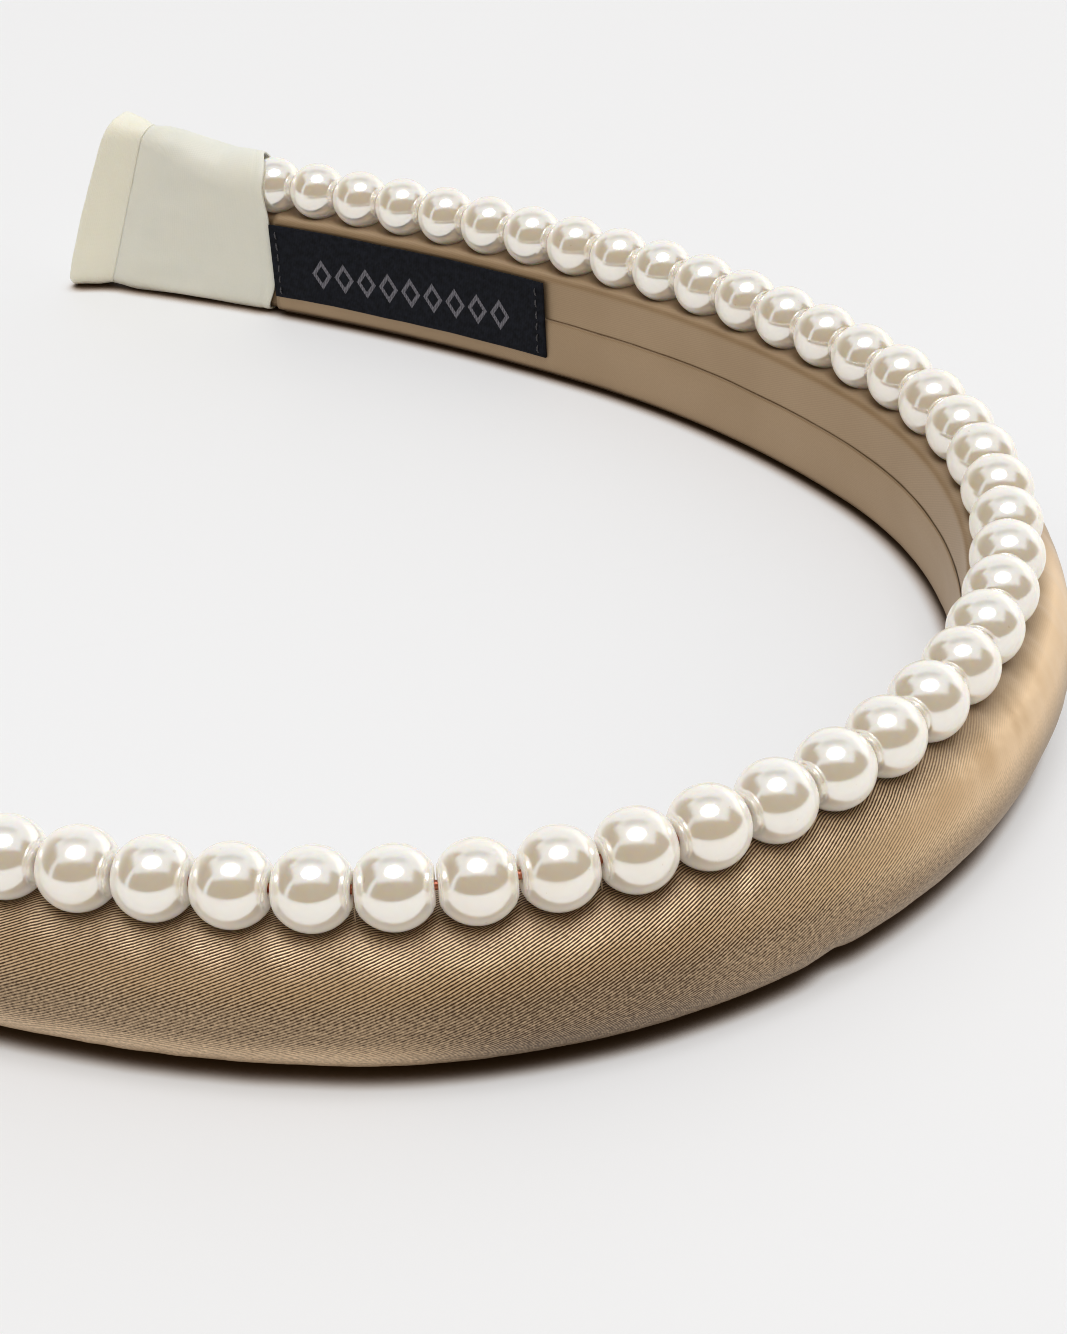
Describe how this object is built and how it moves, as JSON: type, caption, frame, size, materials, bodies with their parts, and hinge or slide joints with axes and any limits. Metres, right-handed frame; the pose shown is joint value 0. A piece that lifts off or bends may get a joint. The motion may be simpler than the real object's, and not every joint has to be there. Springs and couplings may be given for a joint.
{
  "type": "padded beaded headband",
  "caption": "Springy padded headband covered in satin, with a string of round beads along its upper edge and flared wrapped ends.",
  "frame": {"origin": "middle of the bounding box at the lower edge, where the band lies on a table", "axes": "+Z up through the bead string, +X towards the crown, the arms open towards -X; worn, +X is up and +Z is forward, so the left arm is at -Y"},
  "size_m": [0.1606, 0.1394, 0.0242],
  "materials": {
    "core_plastic": "matte",
    "foam": "soft open-cell foam",
    "satin": "champagne satin with a fine diagonal weave",
    "end_fabric": "smooth ivory ribbon",
    "lip_fabric": "smooth ivory ribbon, turned over",
    "wire": "copper-coloured wire",
    "crimp": "crimped",
    "pearl": "pearl lacquer",
    "thread": "sewing thread",
    "label_cloth": "black woven tape",
    "label_thread": "sewing thread"
  },
  "bodies": {
    "left_half": {"core_left": "core_plastic", "foam_left": "foam", "cover_left": "satin", "seam_flap_left": "satin", "end_wrap_left": "end_fabric", "wrap_lip_left": "lip_fabric", "wire_left": "wire", "wire_crimp_left": "crimp", "beads_left": "pearl", "stitches_left": "thread"},
    "right_half": {"core_right": "core_plastic", "foam_right": "foam", "cover_right": "satin", "seam_flap_right": "satin", "end_wrap_right": "end_fabric", "wrap_lip_right": "lip_fabric", "wire_right": "wire", "wire_crimp_right": "crimp", "beads_right": "pearl", "stitches_right": "thread", "label": "label_cloth", "label_stitches": "label_thread"}
  },
  "joints": [
    {"name": "band_flex", "type": "hinge", "parent": "left_half", "child": "right_half", "pos_m": [0.0805, 0, 0.0068], "axis": [0, 0, -1], "range_deg": [0, 12], "stiffness_Nm_per_rad": 0.6}
  ]
}
